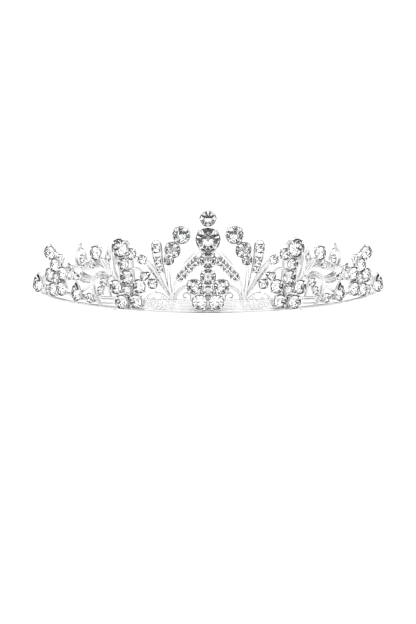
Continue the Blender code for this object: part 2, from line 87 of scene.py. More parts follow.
# %% [markdown]
# ## The flat layout
#
# A maker draws a tiara flat and bends it afterwards. Three measures in millimetres do the same
# here: the arc along the ring from the middle, the height over the band's lower edge, and how far
# a point stands proud of the ring's inner face. One matrix then sets the ring down at rest.

# %% Wrap the flat layout round the ring
RING = 66.6  # mm, radius of the casting's inner face
LAYOUT = 68.0  # mm, radius at which an arc keeps its drawn length
CREST_MAIN = (0.0, 27.489, 8.2)  # arc, height and diameter of the largest stone, in mm


def girdle_proud(diameter):
    """How far a stone's girdle stands out on its cup."""
    return 1.05 + 0.36 * diameter


def wrapped(arc, height, proud):
    """A point of the layout on the ring, in mm."""
    angle = arc / LAYOUT
    return Vector(((RING + proud) * math.sin(angle), -(RING + proud) * math.cos(angle), height))


LEAN = Matrix.Rotation(REST_TILT, 4, "X")
main_girdle = 1000 * (main_middle - main_out * CROWN_SHARE * CREST_MAIN[2] / 1000)
SHIFT = main_girdle - LEAN @ wrapped(*CREST_MAIN[:2], girdle_proud(CREST_MAIN[2]))
TO_REST = Matrix.Scale(0.001, 4) @ Matrix.Translation(SHIFT) @ LEAN
UP = (LEAN @ Vector((0, 0, 1))).normalized()


def at(arc, height, proud):
    """A point of the layout where the tiara rests, in metres."""
    return TO_REST @ wrapped(arc, height, proud)


def axes_at(arc, height, proud, turn=0.0, spin=0.0):
    """Axes there: x along the arc, y up, z outwards. A turn faces z to the front, a spin is about z."""
    angle = arc / LAYOUT
    along = Vector((math.cos(angle), math.sin(angle), 0))
    out = Vector((math.sin(angle), -math.cos(angle), 0))
    base = Matrix((along, Vector((0, 0, 1)), out)).transposed().to_4x4()
    facing = Matrix.Rotation(-math.radians(turn), 4, "Y") @ Matrix.Rotation(math.radians(spin), 4, "Z")
    return TO_REST @ Matrix.Translation(wrapped(arc, height, proud)) @ base @ facing


print("set down by", [round(c, 3) for c in SHIFT], "mm")

# %% [markdown]
# ## Colours and nodes
#
# Colours are picked as sRGB hex values, as a colour card gives them, and a shader wants them
# linear. One function turns them. Another adds any shader node with its settings and its links.

# %% Two helpers for materials


def colour(code):
    """A hex colour as linear red, green, blue and alpha."""
    parts = [int(code[i : i + 2], 16) / 255 for i in (1, 3, 5)]
    return [c / 12.92 if c <= 0.04045 else ((c + 0.055) / 1.055) ** 2.4 for c in parts] + [1.0]


def add_node(tree, kind, settings=None, links=None):
    """Adds a shader node. Settings go to its sockets or options by name, and links feed its sockets."""
    made = tree.nodes.new(kind)
    for name, value in (settings or {}).items():
        if isinstance(name, int) or name in made.inputs:
            made.inputs[name].default_value = value
        else:
            setattr(made, name, value)
    for name, source in (links or {}).items():
        tree.links.new(source, made.inputs[name])
    return made


def new_material(name, settings):
    """A material with one Principled shader, and its node tree."""
    material = bpy.data.materials.new(name)
    material.use_nodes = True
    shader = material.node_tree.nodes["Principled BSDF"]
    for socket, value in settings.items():
        shader.inputs[socket].default_value = value
    return material, material.node_tree, shader


print("colour card white is", [round(c, 3) for c in colour("#F4F3F0")[:3]])

# %% [markdown]
# ## Bright silver plate on a zinc casting
#
# The casting comes out of a rubber mould with a faint skin, is tumbled, and is plated with silver
# and a thin clear flash. The eye sees a near-white mirror that is a little soft, with an uneven
# roughness where the tumbling did not reach. A noise of 0.4 mm makes the mould's skin, and a
# slower one of 3 mm varies the polish.

# %% Silver-plated zinc casting
silver, tree, shader = new_material(
    "silver_plated_zinc_tumbled",
    {"Base Color": colour("#E2E2E2"), "Metallic": 1.0, "Roughness": 0.17},
)
spot = add_node(tree, "ShaderNodeTexCoord")
# Noise scale is features per metre: 1 / 0.003 m for the polish, 1 / 0.0004 m for the mould's skin
polish = add_node(
    tree, "ShaderNodeTexNoise", {"Scale": 330.0, "Detail": 3.0}, {"Vector": spot.outputs["Object"]}
)
rough = add_node(
    tree, "ShaderNodeMapRange", {"From Min": 0.3, "From Max": 0.7, "To Min": 0.12, "To Max": 0.24},
    {"Value": polish.outputs["Fac"]},
)
tree.links.new(rough.outputs["Result"], shader.inputs["Roughness"])
tone = add_node(tree, "ShaderNodeValToRGB", links={"Fac": polish.outputs["Fac"]})
tone.color_ramp.elements[0].color = colour("#DEDEDE")
tone.color_ramp.elements[1].color = colour("#EEEEEE")
tree.links.new(tone.outputs["Color"], shader.inputs["Base Color"])
skin = add_node(
    tree, "ShaderNodeTexNoise", {"Scale": 2500.0, "Detail": 2.0}, {"Vector": spot.outputs["Object"]}
)
bump = add_node(
    tree, "ShaderNodeBump", {"Strength": 0.25, "Distance": 0.00003}, {"Height": skin.outputs["Fac"]}
)
tree.links.new(bump.outputs["Normal"], shader.inputs["Normal"])
print("silver is ready")

# %% [markdown]
# ## Satin plate on a steel strip
#
# The side strips are cut from rolled steel and plated without polishing, so they stay light grey
# with a fine grain along their length. The strip's own UV map, in millimetres along and across,
# carries a noise that is drawn out fifty times along the strip. Real rolling lines are about
# 0.02 mm apart; 0.15 mm is as fine as shows.

# %% Satin plated steel strip
satin, tree, shader = new_material(
    "steel_strip_satin_plated", {"Base Color": colour("#D3D3D2"), "Metallic": 1.0, "Roughness": 0.34}
)
spot = add_node(tree, "ShaderNodeUVMap", {"uv_map": "strip"})
drawn = add_node(tree, "ShaderNodeMapping", {"Scale": (0.13, 6.6, 1.0)}, {"Vector": spot.outputs["UV"]})
grain = add_node(
    tree, "ShaderNodeTexNoise", {"Scale": 1.0, "Detail": 4.0}, {"Vector": drawn.outputs["Vector"]}
)
rough = add_node(
    tree, "ShaderNodeMapRange", {"From Min": 0.25, "From Max": 0.75, "To Min": 0.27, "To Max": 0.43},
    {"Value": grain.outputs["Fac"]},
)
tree.links.new(rough.outputs["Result"], shader.inputs["Roughness"])
tone = add_node(tree, "ShaderNodeValToRGB", links={"Fac": grain.outputs["Fac"]})
tone.color_ramp.elements[0].color = colour("#CACAC9")
tone.color_ramp.elements[1].color = colour("#DDDDDC")
tree.links.new(tone.outputs["Color"], shader.inputs["Base Color"])
bump = add_node(
    tree, "ShaderNodeBump", {"Strength": 0.3, "Distance": 0.00002}, {"Height": grain.outputs["Fac"]}
)
tree.links.new(bump.outputs["Normal"], shader.inputs["Normal"])
print("steel is ready")

# %% [markdown]
# ## Lead crystal and its foil
#
# A rhinestone is machine-cut lead crystal, IOR about 1.56, with a mirror foil on its back. Light
# goes in through the crown, bounces off the foil facets and comes out again, which is the sparkle.
# So a stone is one closed solid with two materials: clear glass on the crown, mirror on the
# pavilion. Fingers leave a faint haze, a roughness of 0.01 in patches of 1 mm. A dark lacquer
# protects the foil. The seat of a closed cup, between the girdle and the rim, is painted near
# black for the shade in that gap, which draws a fine dark ring round the stone.

# %% Machine-cut crystal and mirror foil
crystal, tree, shader = new_material(
    "lead_crystal_machine_cut",
    {"Base Color": colour("#FBFDFD"), "Roughness": 0.004, "IOR": 1.56, "Transmission Weight": 1.0},
)
spot = add_node(tree, "ShaderNodeTexCoord")
haze = add_node(tree, "ShaderNodeTexNoise", {"Scale": 1000.0}, {"Vector": spot.outputs["Object"]})
rough = add_node(
    tree, "ShaderNodeMapRange", {"From Min": 0.4, "From Max": 0.8, "To Min": 0.0, "To Max": 0.02},
    {"Value": haze.outputs["Fac"]},
)
tree.links.new(rough.outputs["Result"], shader.inputs["Roughness"])

foil, tree, shader = new_material(
    "silver_foil_lacquered", {"Base Color": colour("#FCFCFC"), "Metallic": 1.0, "Roughness": 0.03}
)
spot = add_node(tree, "ShaderNodeTexCoord")
lacquer = add_node(tree, "ShaderNodeTexNoise", {"Scale": 1500.0}, {"Vector": spot.outputs["Object"]})
rough = add_node(
    tree, "ShaderNodeMapRange", {"To Min": 0.01, "To Max": 0.06}, {"Value": lacquer.outputs["Fac"]}
)
tree.links.new(rough.outputs["Result"], shader.inputs["Roughness"])

# Painted shade: a near-black material for the seats of closed cups, standing in for the shade in the gap
# between girdle and rim, mottled by a fine noise
seat_painted_shade, tree, shader = new_material(
    "cup_seat_painted_shade", {"Base Color": colour("#282828"), "Roughness": 0.35, "IOR": 1.5}
)
spot = add_node(tree, "ShaderNodeTexCoord")
runs = add_node(tree, "ShaderNodeTexNoise", {"Scale": 2000.0}, {"Vector": spot.outputs["Object"]})
tone = add_node(tree, "ShaderNodeValToRGB", links={"Fac": runs.outputs["Fac"]})
tone.color_ramp.elements[0].color = colour("#181818")
tone.color_ramp.elements[1].color = colour("#383838")
tree.links.new(tone.outputs["Color"], shader.inputs["Base Color"])
print("crystal, foil and lacquer are ready")

# %% [markdown]
# ## Turning lists of points into pieces
#
# Each piece is collected in one bmesh and becomes one object, which rides on the frame and takes
# its materials. Metal is smooth except over sharp bends; a cut stone is flat on every facet.


def finish_piece(name, shape, materials, smooth=True, stands_for=()):
    """Makes an object of the bmesh, which rides on the frame and may stand for CAD nodes."""
    mesh = bpy.data.meshes.new(name)
    bmesh.ops.recalc_face_normals(shape, faces=shape.faces)
    shape.to_mesh(mesh)
    shape.free()
    for material in materials:
        mesh.materials.append(material)
    if smooth:
        mesh.shade_smooth()
        mesh.set_sharp_from_angle(angle=math.radians(38))
    piece = bpy.data.objects.new(name, mesh)
    bpy.context.scene.collection.objects.link(piece)
    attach(piece, "root")
    if stands_for:
        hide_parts(*stands_for)
    return piece


def join_rings(shape, rings, closed=False, second=()):
    """Skins equal rings of points, with flat ends unless closed. Sides in second take material 1."""
    loops = [[shape.verts.new(p) for p in ring] for ring in rings]
    pairs = list(zip(loops, loops[1:] + loops[:1])) if closed else list(zip(loops, loops[1:]))
    for near, far in pairs:
        for i in range(len(near)):
            j = (i + 1) % len(near)
            face = shape.faces.new((near[i], near[j], far[j], far[i]))
            face.material_index = 1 if i in second else 0
    if not closed:
        shape.faces.new(loops[0])
        shape.faces.new(loops[-1])


# %% [markdown]
# ## Wires and leaves
#
# Scrolls, stems and leaves are all one thing to a modeller: a profile that runs along a curve and
# changes its width. The curve goes smoothly through a few points of the drawing. The profile is
# flat at the back, because the piece is cast in a flat mould, and round, ridged or grooved in
# front. Both ends are rounded off.

# %% Smooth routes and the profiles that run along them
# (share of the half width, share of the depth from back to front)
ROUND = [
    (-1, 0), (-1, 0.4), (-0.88, 0.68), (-0.6, 0.9), (-0.22, 1),
    (0.22, 1), (0.6, 0.9), (0.88, 0.68), (1, 0.4), (1, 0),
]
LEAF = [
    (-1, 0), (-1, 0.35), (-0.72, 0.62), (-0.12, 0.95), (0, 1),
    (0.12, 0.95), (0.72, 0.62), (1, 0.35), (1, 0),
]
GROOVED = [
    (-1, 0), (-1, 0.6), (-0.86, 0.9), (-0.62, 1), (-0.38, 0.9), (-0.2, 0.66), (0, 0.58),
    (0.2, 0.66), (0.38, 0.9), (0.62, 1), (0.86, 0.9), (1, 0.6), (1, 0),
]
CHANNEL = [
    (-1, 0), (-1, 0.8), (-0.94, 1), (-0.84, 1), (-0.77, 0.82), (-0.74, 0.5),
    (0.74, 0.5), (0.77, 0.82), (0.84, 1), (0.94, 1), (1, 0.8), (1, 0),
]


def curve_through(points):
    """Close-set points of the Catmull-Rom curve through the given ones."""
    ends = [points[0], *points, points[-1]]
    found = []
    for before, start, end, after in zip(ends, ends[1:], ends[2:], ends[3:]):
        for step in range(24):
            t = step / 24
            weights = (
                -0.5 * t + t**2 - 0.5 * t**3,
                1 - 2.5 * t**2 + 1.5 * t**3,
                0.5 * t + 2 * t**2 - 1.5 * t**3,
                -0.5 * t**2 + 0.5 * t**3,
            )
            near = (before, start, end, after)
            found.append([sum(w * p[k] for w, p in zip(weights, near)) for k in range(len(start))])
    return found + [list(points[-1])]


def travelled(path):
    """The distance along a path to each of its points, in its first two measures."""
    total = [0.0]
    for a, b in zip(path, path[1:]):
        total.append(total[-1] + math.hypot(b[0] - a[0], b[1] - a[1]))
    return total


def point_on(path, distances, wanted):
    """The path's point at a distance along it."""
    for k in range(1, len(path)):
        if distances[k] >= wanted or k == len(path) - 1:
            span = max(distances[k] - distances[k - 1], 1e-9)
            t = min(max((wanted - distances[k - 1]) / span, 0.0), 1.0)
            return [a + (b - a) * t for a, b in zip(path[k - 1], path[k])]


def run_along(route, widths, step):
    """Samples of a route: arc, height, width and distance to the nearer end, where they are closer."""
    if not isinstance(widths, (tuple, list)):
        widths = [widths] * len(route)
    path = curve_through([(*place, width) for place, width in zip(route, widths)])
    distances = travelled(path)
    length = distances[-1]
    count = max(3, round(length / step))
    marks = [length * i / count for i in range(count + 1)] + [0.06, 0.2, length - 0.2, length - 0.06]
    marks = [mark for mark in sorted(marks) if 0 <= mark <= length]
    return [(*point_on(path, distances, mark), min(mark, length - mark)) for mark in marks]


def add_run(shape, route, widths, front=1.6, back=0.3, profile=ROUND, step=0.5):
    """Adds a wire or leaf along a route of (arc, height) places."""
    samples = run_along(route, widths, step)
    rings = []
    for i, (arc, height, width, reach) in enumerate(samples):
        before, after = samples[max(i - 1, 0)], samples[min(i + 1, len(samples) - 1)]
        run = Vector((after[0] - before[0], after[1] - before[1])).normalized()
        inward = min(1.0, reach / max(width / 2, 0.05))
        rounding = max(0.25, math.sqrt(1 - (1 - inward) ** 2))
        half = width / 2 * rounding
        tall = back + (front - back) * (0.45 + 0.55 * rounding)
        rings.append(
            [
                at(arc - run.y * s * half, height + run.x * s * half, back + p * (tall - back))
                for s, p in profile
            ]
        )
    join_rings(shape, rings)


def both(shape, adder, route, *rest, **named):
    """Adds a run on the right half and its mirror image on the left."""
    adder(shape, route, *rest, **named)
    adder(shape, [(-arc, height) for arc, height in route], *rest, **named)


trial = travelled(curve_through([(0, 0), (5, 5), (10, 0)]))
print(f"an arch 10 mm wide and 5 mm high is {trial[-1]:.1f} mm long on its curve")

# %% [markdown]
# ## The base band
#
# The band is what the hand holds: a thicker lower rail, a thin web set back, and a fine upper rail.
# It is tallest at the middle and lower at its ends. One profile swept along the arc makes it, with
# a step of under a millimetre so that the ring looks round.

# %% Sweep the band with its two rails
HALF_ARC = 88.0  # mm
BAND_MIDDLE, BAND_END = 4.8, 3.2  # mm, heights


def band_top(arc):
    """The band's height at an arc."""
    return BAND_MIDDLE + (BAND_END - BAND_MIDDLE) * (arc / HALF_ARC) ** 2


def band_section(arc):
    """Points of the band's profile as (height, proud), lower rail first."""
    top = band_top(arc)
    lower = [(0, 0), (0, 1.1), (0.1, 1.32), (0.32, 1.4), (0.68, 1.4), (0.9, 1.3), (1.0, 1.12), (1.02, 0.9)]
    upper = [(-0.7, 0.9), (-0.68, 1.06), (-0.56, 1.18), (-0.35, 1.2), (-0.12, 1.16), (0, 1.0), (0, 0)]
    return lower + [(top + h, proud) for h, proud in upper]


casting = bmesh.new()
steps = 220
rings = []
for i in range(steps + 1):
    arc = HALF_ARC * (2 * i / steps - 1)
    rings.append([at(arc, height, proud) for height, proud in band_section(arc)])
join_rings(casting, rings)
print(f"band: {2 * HALF_ARC:.0f} mm long and {band_top(0):.1f} to {band_top(HALF_ARC):.1f} mm high")

# %% [markdown]
# ## Ribs, arches and filigree on the band
#
# The middle of the band is a ribbed plate, and beside it a low arch holds small rings, like
# bubbles. Such filigree is part of the master the mould is made from. Thin runs on the web and
# small closed rings give it, which catch more light than a carved texture would.

# %% Add the ribs and the filigree
for height, reach in ((1.55, 9.5), (2.5, 10.8), (3.5, 11.4)):
    rib = [(-reach, height), (-reach / 2, height), (0, height), (reach / 2, height), (reach, height)]
    add_run(casting, rib, 0.5, front=1.3, back=0.7, step=1.0)


def add_ring(shape, middle, radius, width=0.45, front=1.35, back=0.7):
    """Adds a small closed ring of round wire."""
    count = 20
    rings = []
    for i in range(count):
        angle = 2 * math.pi * i / count
        ring = []
        for s, p in ROUND:
            reach = radius + s * width / 2
            spot = (middle[0] + reach * math.cos(angle), middle[1] + reach * math.sin(angle))
            ring.append(at(*spot, back + p * (front - back)))
        rings.append(ring)
    join_rings(shape, rings, closed=True)


BUBBLES = [
    (13.6, 2.0, 0.55), (15.0, 3.2, 0.6), (16.4, 1.9, 0.7), (18.0, 3.6, 0.85), (19.9, 2.2, 0.8),
    (20.6, 4.3, 0.9), (22.2, 2.6, 0.75), (12.6, 3.5, 0.5), (18.2, 1.7, 0.5), (17.2, 5.3, 0.5),
]
for arc, height, radius in BUBBLES:
    for side in (1, -1):
        add_ring(casting, (side * arc, height), radius)
# the arch over the bubbles, and the flat panel between the rose and the scroll
both(casting, add_run, [(14.4, 4.4), (17.0, 6.4), (20.0, 7.0), (22.7, 5.8), (24.0, 3.2)], 0.9, front=1.5)
both(casting, add_run, [(37.0, 3.6), (40.0, 3.5), (43.2, 3.3)], 0.5, front=1.35, back=0.7)
both(casting, add_run, [(36.6, 2.2), (40.0, 1.9), (43.8, 1.8)], 0.5, front=1.35, back=0.7)
both(casting, add_run, [(76.8, 2.6), (79.0, 2.1), (81.2, 2.4)], 0.5, front=1.4, back=0.7)
print(f"{2 * len(BUBBLES)} filigree rings")

# %% [markdown]
# ## Stems, scrolls and leaves
#
# Everything above the band grows from a few points on it, like stems from a pot. The stems are
# round wire, the scrolls carry a groove, and the leaves a ridge. Each run is drawn once on the
# right half and mirrored, as the maker mirrors the master.

# %% Draw the runs of one half
# (route of (arc, height) places, width or widths along it, how far its front stands proud) in mm
STEMS = [
    # the twin stones' stem, and the foot of the crest's arm
    ([(13.2, 4.2), (14.4, 10.0), (14.6, 15.5), (13.6, 20.0), (12.8, 23.4), (10.0, 28.0)], 1.3, 1.6),
    ([(10.8, 12.8), (12.5, 10.2), (13.2, 4.2)], (0.8, 1.0, 1.1), 1.5),
    # the wire over the rose, from the cluster to the round stone
    (
        [(20.0, 6.8), (20.4, 10.6), (23.7, 13.2), (27.2, 15.6), (31.0, 15.2)],
        (0.8, 1.0, 1.1, 1.2, 1.0), 1.5,
    ),
    # the cluster's stems
    ([(30.8, 12.0), (32.0, 17.4), (33.2, 23.6)], 1.3, 1.5),
    ([(32.0, 17.4), (28.8, 21.2)], 1.3, 1.5),
    # rays of the fan: to the cluster stone, the fan stone and the pointed stone
    (
        [(32.0, 8.8), (35.6, 11.6), (37.3, 16.0), (37.6, 20.2), (36.6, 22.6)],
        (0.9, 1.2, 1.2, 1.1, 0.8), 1.6,
    ),
    ([(38.4, 12.4), (41.4, 16.2), (44.2, 20.6)], 1.2, 1.6),
    ([(38.4, 12.2), (42.0, 14.9), (46.6, 16.2)], 1.1, 1.5),
    ([(38.2, 12.6), (39.4, 15.0), (42.3, 18.4)], (0.6, 0.9, 0.5), 1.2),
    # stem of the pair of small stones, and of the stones on the outer leaf
    ([(38.4, 12.0), (40.6, 9.8), (42.2, 6.6), (45.6, 4.6)], 1.2, 1.5),
    ([(46.8, 8.4), (50.2, 6.6), (54.0, 4.6)], 1.0, 1.5),
    ([(55.4, 10.4), (62.0, 8.8)], 1.3, 1.4),
    # the tip stone's stem beside the end rose, with a bead on the way
    ([(66.5, 9.0), (67.6, 14.0), (69.6, 16.6), (71.6, 18.6)], 1.5, 1.6),
    ([(66.0, 13.0), (64.9, 15.2), (64.6, 17.0)], 0.9, 1.5),
]
for route, widths, front in STEMS:
    both(casting, add_run, route, widths, front=front)

SCROLLS = [
    # the arch beside the middle flower, and the curl under it
    ([(12.2, 4.4), (11.6, 7.2), (9.2, 9.4), (5.4, 9.9)], (1.0, 1.3, 1.3, 0.8), 1.6),
    (
        [(6.4, 5.0), (6.6, 6.7), (8.0, 7.5), (9.2, 6.6), (8.7, 5.5), (7.9, 5.9)],
        (0.6, 0.7, 0.7, 0.6, 0.5, 0.4), 1.5,
    ),
    # the large scroll that curls over the two small stones
    (
        [
            (38.0, 12.0), (42.6, 11.8), (48.0, 10.9), (52.8, 11.5), (56.0, 14.2),
            (56.5, 17.8), (54.4, 20.8), (51.6, 20.2), (50.0, 17.0),
        ],
        (0.9, 1.4, 1.8, 2.2, 2.3, 2.0, 1.5, 0.9, 0.5), 1.8,
    ),
    # the lower scroll down to the rail
    (
        [(38.4, 12.6), (42.8, 13.1), (46.3, 10.8), (46.9, 7.4), (45.4, 3.9), (42.8, 0.8)],
        (0.8, 1.6, 1.9, 1.8, 1.5, 0.9), 1.7,
    ),
]
for route, widths, front in SCROLLS:
    both(casting, add_run, route, widths, front=front, profile=GROOVED)

LEAVES = [
    # the broad leaf from the band to the small square stone
    (
        [(13.4, 4.6), (16.4, 9.2), (19.2, 13.4), (22.2, 17.2), (24.4, 19.4)],
        (0.6, 1.7, 2.4, 2.2, 1.2), 1.5,
    ),
    ([(24.4, 19.4), (26.6, 20.4), (28.6, 21.0)], (1.2, 1.5, 1.2), 1.4),
    # the upright leaf of the fan, with its pointed stone
    ([(38.0, 12.2), (38.2, 15.6), (39.0, 19.2), (39.9, 23.0)], (0.6, 1.5, 3.0, 0.4), 1.3),
    # the outer leaf with its stones
    (
        [(46.4, 10.0), (50.6, 9.7), (55.0, 10.7), (58.0, 14.0), (60.8, 17.0)],
        (0.8, 2.5, 2.6, 2.2, 0.4), 1.4,
    ),
    # the leaf between the curl and the tip, ending in a pointed bead
    ([(54.8, 20.4), (54.2, 21.6), (53.4, 23.4)], (0.9, 1.5, 0.5), 1.9),
]
for route, widths, front in LEAVES:
    both(casting, add_run, route, widths, front=front, profile=LEAF)

# the thin leaves that hug the cluster stone and the fan stone
HOODS = [
    ([(29.9, 24.4), (31.9, 26.6), (34.9, 26.5), (36.7, 24.2)], (0.4, 0.7, 0.7, 0.3), 1.7),
    ([(41.9, 22.1), (43.7, 23.4), (45.9, 22.9), (47.0, 21.0)], (0.4, 0.6, 0.6, 0.3), 1.6),
]
for route, widths, front in HOODS:
    both(casting, add_run, route, widths, front=front, back=0.9, profile=LEAF)
print(f"{2 * (len(STEMS) + len(SCROLLS) + len(LEAVES) + len(HOODS))} runs")

# %% [markdown]
# ## Channels for rows of small stones
#
# The crest's arms and the two tall feathers are channels: a plate with a raised border that holds
# a row of stones. A separate fine wire runs along the outside of each arm.

# %% Add the channels and the middle post
ARM = [(1.6, 23.0), (3.0, 21.0), (7.0, 16.7), (10.4, 13.0), (11.3, 12.0)]
ARM_WIDTHS = (1.6, 3.2, 3.5, 3.3, 1.8)
FEATHER = [
    (13.2, 5.0), (15.6, 9.8), (17.3, 14.4), (18.7, 19.0), (19.3, 23.2), (19.5, 25.6), (19.6, 26.9),
]
FEATHER_WIDTHS = (0.8, 1.3, 2.6, 3.5, 4.1, 3.6, 1.4)
both(casting, add_run, ARM, ARM_WIDTHS, front=1.7, back=0.12, profile=CHANNEL)
both(casting, add_run, FEATHER, FEATHER_WIDTHS, front=1.7, back=0.12, profile=CHANNEL)
both(casting, add_run, [(4.6, 22.9), (6.8, 20.5), (9.2, 17.9)], (0.4, 0.6, 0.4), front=2.0, back=0.5)
add_run(casting, [(0, 2.0), (0, 12.0), (0, 24.0), (0, 34.0)], 1.6, front=1.6)
finish_piece("cast_front", casting, [silver], stands_for=["front_frame"])

# %% [markdown]
# ## The stones, facet by facet
#
# A rhinestone is cut more simply than a diamond, so that a machine can do it. Its crown has a
# table, eight large facets and eight small ones. Behind are sixteen more that meet in a point, and
# a waist bends each of the eight large ones slightly, so that they are made as two faces. A
# 57-facet brilliant could be made in the same way, but at this size its facets blur to grey, while
# the large facets of a chaton flash black and white. The same plan makes the pears and the
# pointed, square and three-sided stones once the outline is changed.

# %% Cut a stone
# all of a stone's radius
PAVILION = 0.8  # depth below the girdle, which sets the facets of a round stone at 37 to 39 degrees
TABLE = 0.5  # reach of the table's corners
WAIST = 0.4  # where the small facets behind begin
GIRDLE = 0.03  # half of the girdle's thickness
HALF_FACET = 0.27  # half of a girdle side in front of a large facet, in eighths of a turn


def outline_point(form, angle):
    """A point on the girdle of a form whose half width is 1."""
    x, y = math.cos(angle), math.sin(angle)
    if form == "pear" and y > 0:
        return x * (1 - 0.25 * y), y * 1.9
    if form == "pointed":
        return x * (1 - 0.3 * abs(y)), y * 1.8
    if form == "square":
        return tuple(math.copysign(abs(c) ** 0.6, c) for c in (x, y))
    if form == "triangle":
        reach = 0.92 + 0.2 * math.cos(3 * (angle - math.pi / 2))
        return x * reach, y * reach
    return x, y


def add_stone(shape, place, diameter, form="round"):
    """Adds one stone with its girdle's middle at the place's origin. Foil faces take material 1."""
    radius = diameter / 2
    flat = math.cos(math.pi / 8)

    def spot(eighths, reach, height):
        x, y = outline_point(form, eighths * math.pi / 4)
        return shape.verts.new(place @ Vector((x * reach * radius, y * reach * radius, height * radius)))

    table = [spot(k, TABLE, 2 * CROWN_SHARE) for k in range(8)]
    turns = [k + q for k in range(8) for q in (-HALF_FACET, HALF_FACET)]
    upper = [spot(turn, 1, GIRDLE) for turn in turns]
    lower = [spot(turn, 1, -GIRDLE) for turn in turns]
    # the waist bends a round stone's large facets by under two degrees, between point and girdle
    steep = PAVILION / math.cos(0.23 * math.pi / 4)
    waist = [spot(k, WAIST, -PAVILION + steep * WAIST * flat) for k in range(8)]
    point = spot(0, 0, -PAVILION)
    shape.faces.new(table)
    for k in range(8):
        n = (k + 1) % 8
        shape.faces.new((table[k], upper[2 * k], upper[2 * k + 1]))
        shape.faces.new((table[k], upper[2 * k + 1], upper[2 * n], table[n]))
        behind = [
            (waist[k], lower[2 * k], lower[2 * k + 1]),
            (waist[k], lower[2 * k + 1], lower[2 * n], waist[n]),
            (point, waist[k], waist[n]),
        ]
        for corners in behind:
            shape.faces.new(corners).material_index = 1
    for k in range(16):
        n = (k + 1) % 16
        shape.faces.new((upper[k], upper[n], lower[n], lower[k]))


print(f"a chaton has {1 + 16 + 24} faces and a girdle of 16")

# %% [markdown]
# ## Placing the large stones
#
# Each large stone replaces its plain stand-in. Its axes come from the stand-in's table, so that it
# looks the same way, and its width from how far the stand-in reaches from its axis.

# %% Set the large stones where the frame holds them
STAND_IN_TABLE = 0.58  # size of a stand-in's table, of its outline


def pear_middle():
    """How far the middle of a pear's area lies above that of its round end, of its half width."""
    points = [outline_point("pear", math.pi * k / 4) for k in range(8)]
    area = rise = 0.0
    for (x0, y0), (x1, y1) in zip(points, points[1:] + points[:1]):
        cross = x0 * y1 - x1 * y0
        area += cross / 2
        rise += cross * (y0 + y1) / 6
    return rise / area


def seat_of(node):
    """Axes at the middle of a large stone's girdle in metres, its diameter in mm, and its form."""
    middle, out = table_of(node)
    up = (UP - out * UP.dot(out)).normalized()
    form = "pear" if "pear" in node else "round"
    across = up.cross(out).normalized()
    reach = 0.0
    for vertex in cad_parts[node].data.vertices:
        spread = vertex.co - middle
        sideways, upwards = spread.dot(across), spread.dot(up)
        reach = max(reach, abs(sideways) if form == "pear" else math.hypot(sideways, upwards))
    # the stand-in's table is a smaller pear, and its middle lies above the middle of the round end
    down = STAND_IN_TABLE * pear_middle() * reach if form == "pear" else 0.0
    origin = middle - out * (2 * CROWN_SHARE * reach) - up * down
    axes = Matrix((across, up, out)).transposed().to_4x4()
    return Matrix.Translation(origin) @ axes @ Matrix.Scale(0.001, 4), 2000 * reach, form


LARGE = {}
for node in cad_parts:
    if node.startswith(("front_frame", "side_comb")):
        continue
    place, diameter, form = seat_of(node)
    LARGE[node] = (place, diameter, form)
    gem = bmesh.new()
    add_stone(gem, place, diameter, form)
    finish_piece(f"cut_{node}", gem, [crystal, foil], smooth=False, stands_for=[node])
sizes = [diameter for _, diameter, _ in LARGE.values()]
print(f"{len(LARGE)} large stones, {min(sizes):.1f} to {max(sizes):.1f} mm")

# %% [markdown]
# ## The small stones
#
# Fifty-one smaller stones fill the flowers' middles, the channels and the scrolls. They are too
# small to be parts of their own, so one object holds them all. Fifty of them are twenty-five
# pairs, and a single one sits in the middle flower.

# %% Set the small stones
# (arc, height, width, form, turn of its face to the front, spin that points its tip, proud)
SMALL = [
    (30.2, 7.5, 3.3, "round", 0, 0, 3.1),
    (66.4, 8.8, 3.4, "round", 14, 0, 3.2),
    (4.6, 19.1, 2.8, "round", 0, 0, 2.0),
    (7.0, 16.6, 2.6, "round", 0, 0, 2.0),
    (9.6, 13.9, 2.8, "round", 0, 0, 2.0),
    (14.2, 19.7, 3.4, "round", 0, 0, 2.6),
    (19.2, 23.6, 3.0, "round", 0, 0, 2.0),
    (18.6, 19.2, 2.5, "round", 0, 0, 2.0),
    (17.7, 15.9, 2.1, "round", 0, 0, 2.0),
    (31.9, 17.4, 4.0, "round", 0, 0, 2.8),
    (28.8, 21.3, 3.8, "round", 0, 0, 2.8),
    (24.4, 19.4, 2.9, "square", 0, 20, 2.5),
    (23.7, 13.2, 2.7, "pear", 0, 60, 2.5),
    (20.4, 10.6, 3.3, "round", 0, 0, 2.5),
    (40.6, 9.8, 3.0, "round", 0, 0, 2.5),
    (42.2, 6.6, 2.6, "round", 0, 0, 2.4),
    (39.1, 19.4, 1.7, "pointed", 0, -12, 1.9),
    (46.6, 16.2, 2.4, "pear", 0, 110, 2.4),
    (51.2, 17.8, 2.6, "round", 0, 0, 2.3),
    (51.2, 15.4, 1.9, "round", 0, 0, 2.1),
    (47.4, 3.4, 3.2, "round", 8, 0, 2.5),
    (55.3, 10.9, 2.6, "pear", 8, 100, 2.5),
    (58.0, 14.0, 2.5, "triangle", 12, -40, 2.4),
    (64.6, 17.0, 2.2, "round", 14, 0, 2.5),
    (74.2, 3.6, 2.9, "round", 18, 0, 2.5),
]
small_places = [(axes_at(0, 8.4, 3.1), 3.5, "round")]
for arc, height, width, form, turn, spin, proud in SMALL:
    small_places.append((axes_at(arc, height, proud, turn, spin), width, form))
    small_places.append((axes_at(-arc, height, proud, -turn, -spin), width, form))
gems = bmesh.new()
for place, width, form in small_places:
    add_stone(gems, place, width, form)
finish_piece("cut_small_stones", gems, [crystal, foil], smooth=False)
print(len(small_places), "small stones")

